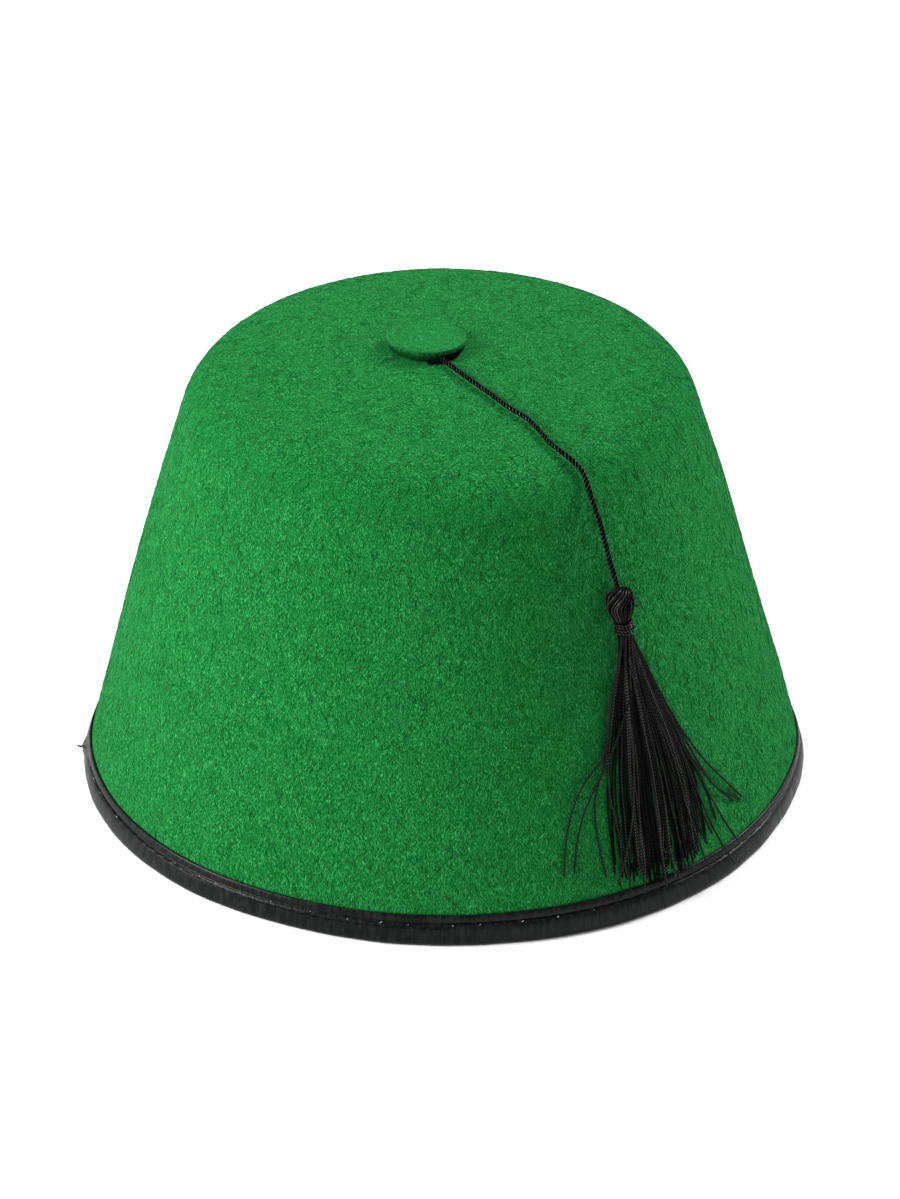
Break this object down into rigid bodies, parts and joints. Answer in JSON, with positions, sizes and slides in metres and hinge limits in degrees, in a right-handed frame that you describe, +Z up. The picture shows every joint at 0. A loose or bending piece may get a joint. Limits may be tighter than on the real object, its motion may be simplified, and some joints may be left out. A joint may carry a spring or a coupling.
{
  "type": "fez hat",
  "caption": "Tapered felt fez with a soft shoulder, a bound rim, a felt button on the top, and a tassel on a twisted cord that hangs down the side.",
  "frame": {"origin": "middle of the flat ring that the rim stands on", "axes": "+Z up through the middle of the top, -Y towards the hat's front, +X to the right as seen from the front"},
  "size_m": [0.201, 0.2, 0.1304],
  "materials": {
    "felt": "green wool-like felt, matt with short fibres",
    "imitation_leather": "black, satin, finely creased",
    "thread": "black twisted thread with a soft sheen"
  },
  "bodies": {
    "root": {"crown": "felt", "button": "felt", "rim_binding": "imitation_leather", "cord": "thread", "tassel": "thread", "neck_wrap": "thread"}
  },
  "joints": []
}
